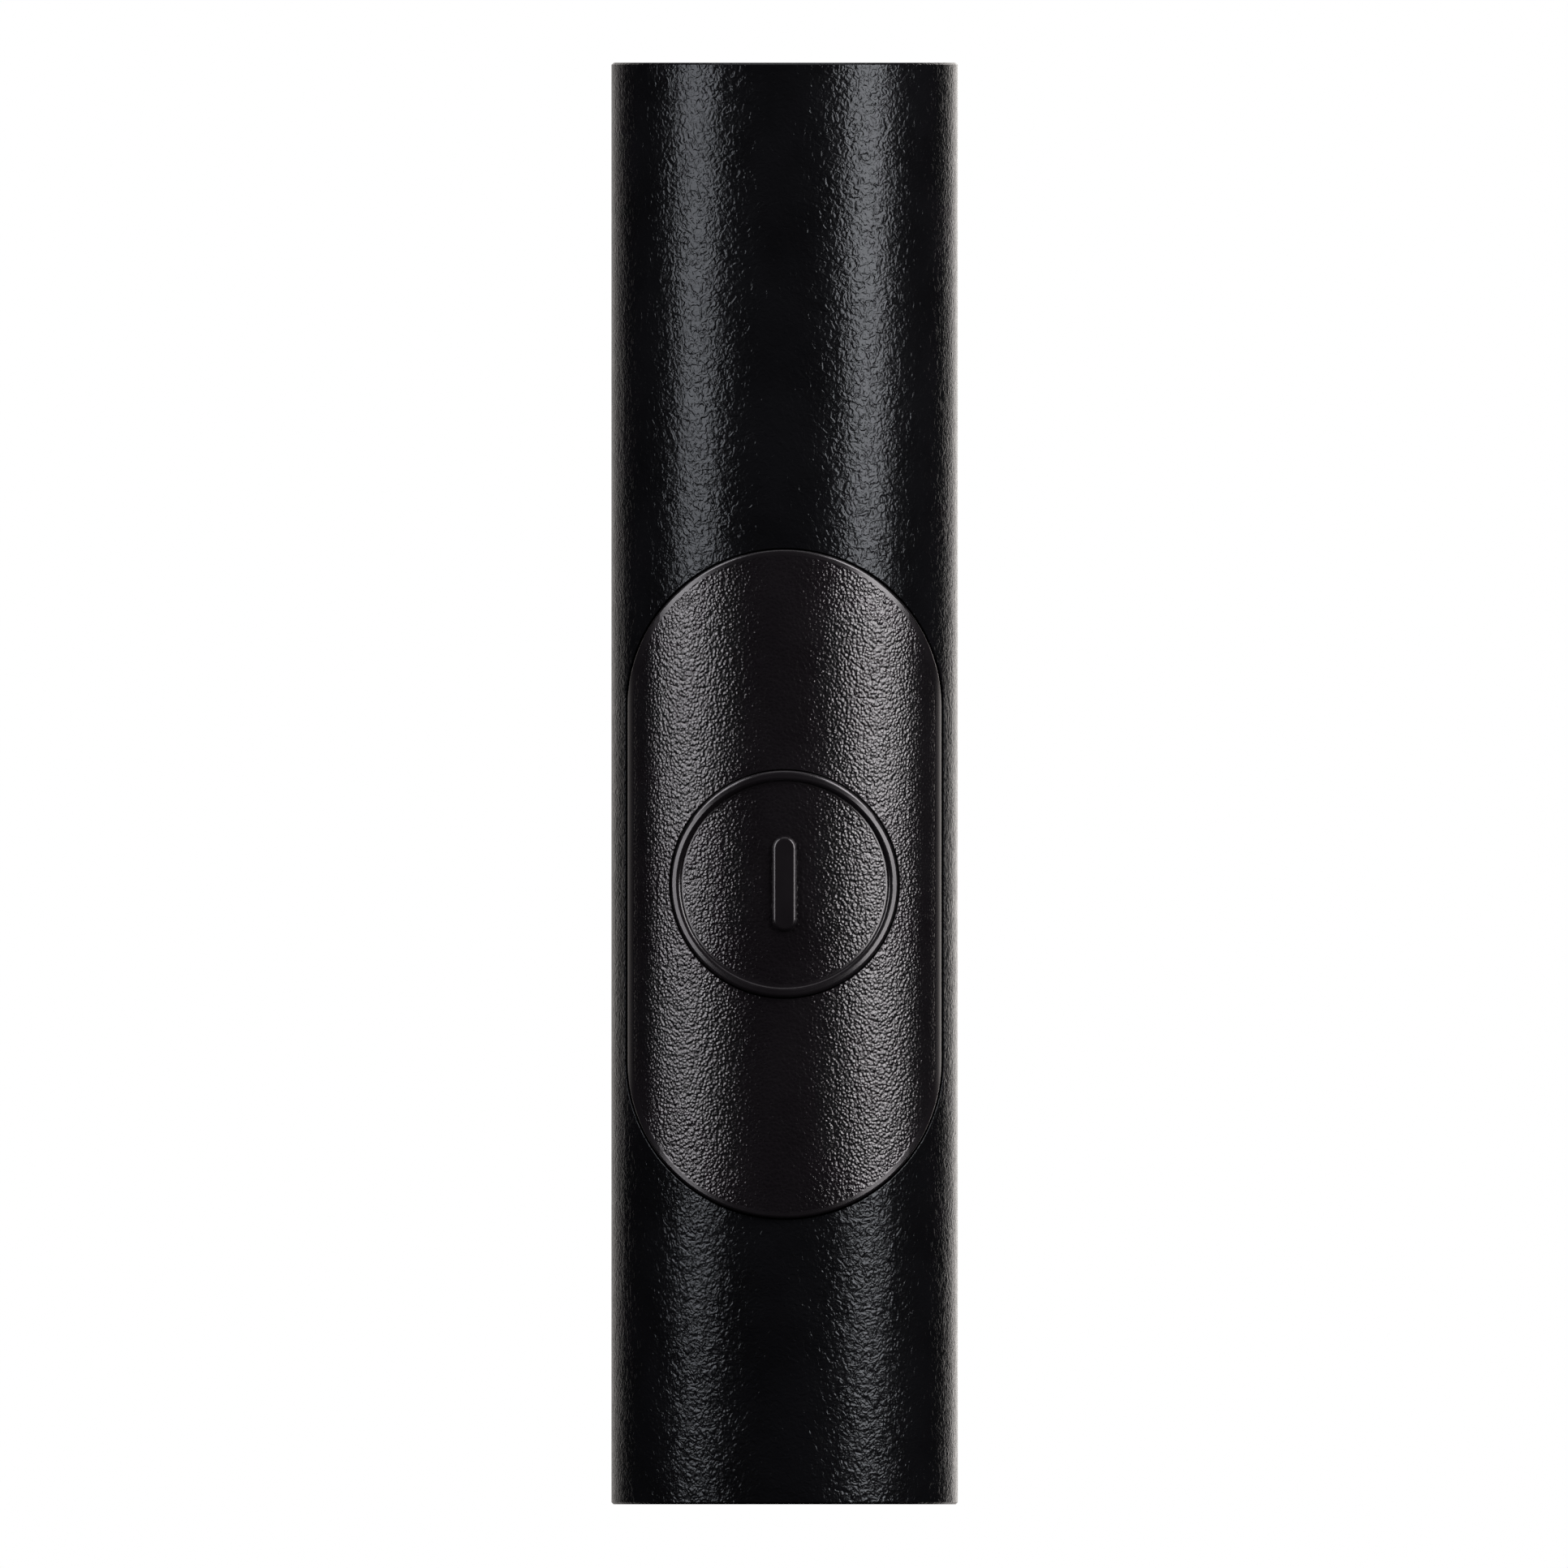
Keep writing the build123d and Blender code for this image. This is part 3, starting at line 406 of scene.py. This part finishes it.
def spring_rings(made, low, high):
    """Rings of vertices along the wire, from the switch case forward. The wire is flat at both ends."""
    middle_x, middle_z = (low.x + high.x) / 2, (low.z + high.z) / 2
    radius = (high.x - low.x) / 2 - SPRING_WIRE_R
    start_y, rise = high.y - SPRING_WIRE_R, low.y - high.y + 2 * SPRING_WIRE_R
    steps = SPRING_COIL_TURNS * STEPS_PER_TURN
    rings = []
    for step in range(steps + 1):
        along = step / steps
        turn = along * SPRING_COIL_TURNS * 2 * math.pi
        advance = min(max((along - FLAT_SHARE) / (1 - 2 * FLAT_SHARE), 0.0), 1.0)
        ring = []
        for side in range(WIRE_SIDES):
            a = side * 2 * math.pi / WIRE_SIDES
            reach = radius + SPRING_WIRE_R * math.cos(a)
            x, z = middle_x + reach * math.cos(turn), middle_z + reach * math.sin(turn)
            y = start_y + rise * advance + SPRING_WIRE_R * math.sin(a)
            ring.append(made.verts.new((x, y, z)))
        rings.append(ring)
    return rings


def return_spring():
    """Wire coil in place of the plain one."""
    low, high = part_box("button_spring")
    made = bmesh.new()
    rings = spring_rings(made, low, high)
    for near, far in zip(rings, rings[1:]):
        for side in range(WIRE_SIDES):
            after = (side + 1) % WIRE_SIDES
            made.faces.new((near[side], near[after], far[after], far[side])).smooth = True
    made.faces.new(reversed(rings[0]))
    made.faces.new(rings[-1])
    bmesh.ops.recalc_face_normals(made, faces=made.faces)
    mesh = bpy.data.meshes.new("return_spring")
    made.to_mesh(mesh)
    made.free()
    spring = placed("return_spring", mesh)
    dress(spring, LOOKS["button_spring"])
    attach(spring, "barrel")
    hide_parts("button_spring")
    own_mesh(spring)


return_spring()

# ---------------------------------------------------------------- light, floor and camera

PEN_MIDDLE = Vector((0.0, 0.0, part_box("barrel")[1].z / 2))
WARM_WHITE = (1.0, 0.95, 0.91)
FLOOR_RADIUS = 1.6
FLOOR_GAP = 0.02 * MM
FLOOR_SUN = 3.7
FLOOR_SUN_SPREAD = math.radians(35)
FLOOR_SUN_TILT = (math.radians(-16), math.radians(12), 0)
VIEW_HEIGHT = 90.49 * MM
VIEW_CENTRE_X = -0.03 * MM
VIEW_CENTRE_Z = 41.57 * MM
CAMERA_DISTANCE = 0.3


def soft_box(name, azimuth, elevation, distance, width, height, power, colour=(1, 1, 1), rise=0.0):
    """An area light that faces the pen from a direction. It doesn't show itself."""
    data = bpy.data.lights.new(name, "AREA")
    data.shape = "RECTANGLE"
    data.size, data.size_y = width, height
    data.energy = power
    data.color = colour
    light = placed(name, data)
    a, e = math.radians(azimuth), math.radians(elevation)
    back = Vector((math.sin(a) * math.cos(e), -math.cos(a) * math.cos(e), math.sin(e)))
    aim = PEN_MIDDLE + Vector((0, 0, rise))
    light.location = aim + back * distance
    light.rotation_mode = "QUATERNION"
    light.rotation_quaternion = back.to_track_quat("Z", "Y")
    light.visible_camera = False
    return light


soft_box("key_right", 57, 0, 0.30, 0.13, 0.40, 0.75, (1.0, 0.995, 0.985), rise=0.185)
soft_box("key_left", -61, 0, 0.30, 0.13, 0.40, 0.50, (0.985, 0.99, 1.0), rise=0.185)
soft_box("overhead", 0, 90, 0.40, 0.30, 0.30, 0.15)
soft_box("back_right", 163, 8, 0.30, 0.10, 0.34, 0.07, WARM_WHITE, rise=0.06)
soft_box("back_left", -163, 8, 0.30, 0.10, 0.34, 0.02, WARM_WHITE, rise=0.06)
soft_box("behind", 180, 10, 0.35, 0.08, 0.30, 0.16, rise=0.05)


def ramp(tree, low, high, to_low, to_high):
    """A smooth step of the world's brightness along one direction."""
    node = tree.nodes.new("ShaderNodeMapRange")
    node.interpolation_type = "SMOOTHSTEP"
    node.inputs["From Min"].default_value = low
    node.inputs["From Max"].default_value = high
    node.inputs["To Min"].default_value = to_low
    node.inputs["To Max"].default_value = to_high
    return node


def surroundings():
    """A white wall behind the pen, a dim room in front of it, and plain white wherever nothing stands."""
    world = bpy.data.worlds.new("studio")
    bpy.context.scene.world = world
    world.use_nodes = True
    tree = world.node_tree
    tree.nodes.clear()
    direction = tree.nodes.new("ShaderNodeTexCoord")
    parts = tree.nodes.new("ShaderNodeSeparateXYZ")
    wall = ramp(tree, 0.70, 0.96, 0.003, 0.82)
    side = ramp(tree, -0.35, 0.35, 0.35, 1.0)
    lit_wall = tree.nodes.new("ShaderNodeMath")
    lit_wall.operation = "MULTIPLY"
    lit = tree.nodes.new("ShaderNodeBackground")
    shown = tree.nodes.new("ShaderNodeBackground")
    shown.inputs["Color"].default_value = (1, 1, 1, 1)
    tinted = tree.nodes.new("ShaderNodeMix")
    tinted.data_type = "RGBA"
    tinted.inputs[6].default_value = (0, 0, 0, 1)
    tinted.inputs[7].default_value = (*WARM_WHITE, 1)
    path = tree.nodes.new("ShaderNodeLightPath")
    pick = tree.nodes.new("ShaderNodeMixShader")
    out = tree.nodes.new("ShaderNodeOutputWorld")
    link = tree.links.new
    link(direction.outputs["Generated"], parts.inputs[0])
    link(parts.outputs["Y"], wall.inputs["Value"])
    link(parts.outputs["X"], side.inputs["Value"])
    link(wall.outputs[0], lit_wall.inputs[0])
    link(side.outputs[0], lit_wall.inputs[1])
    link(lit_wall.outputs[0], tinted.inputs[0])
    link(tinted.outputs[2], lit.inputs["Color"])
    link(path.outputs["Is Camera Ray"], pick.inputs[0])
    link(lit.outputs[0], pick.inputs[1])
    link(shown.outputs[0], pick.inputs[2])
    link(pick.outputs[0], out.inputs["Surface"])


surroundings()


def floor():
    """Pale seamless floor just under the tail. It stays under the tail cap when that is unscrewed."""
    mesh = bpy.data.meshes.new("floor")
    made = bmesh.new()
    bmesh.ops.create_circle(made, cap_ends=True, radius=FLOOR_RADIUS, segments=128)
    made.to_mesh(mesh)
    made.free()
    obj = placed("floor", mesh)
    obj.location = (0, 0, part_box("barrel")[0].z - FLOOR_GAP)
    obj.visible_glossy = False
    obj.visible_diffuse = False
    dress(obj, general("floor_card", rgb(0.86, 0.86, 0.86), 0.6, mottle=0.01, mottle_mm=60,
                       grain_mm=3.0, grain_depth_mm=0.01))
    obj.parent = frame["bodies"]["tail_seal"]
    return obj


def light_floor(paper):
    """An even soft light that falls on the floor and on nothing else, so that the pen casts a soft shadow."""
    only_floor = bpy.data.collections.new("lit_by_floor_light")
    only_floor.objects.link(paper)
    data = bpy.data.lights.new("floor_light", "SUN")
    data.energy = FLOOR_SUN
    data.angle = FLOOR_SUN_SPREAD
    light = placed("floor_light", data)
    light.rotation_euler = FLOOR_SUN_TILT
    light.light_linking.receiver_collection = only_floor


light_floor(floor())

camera_data = bpy.data.cameras.new("camera")
camera_data.type = "ORTHO"
camera_data.ortho_scale = VIEW_HEIGHT
camera = placed("camera", camera_data)
camera.location = (VIEW_CENTRE_X, -CAMERA_DISTANCE, VIEW_CENTRE_Z)
camera.rotation_euler = (math.pi / 2, 0, 0)
camera_data.clip_start, camera_data.clip_end = 0.01, 10.0
bpy.context.scene.camera = camera
bpy.context.scene.view_settings.view_transform = "Standard"
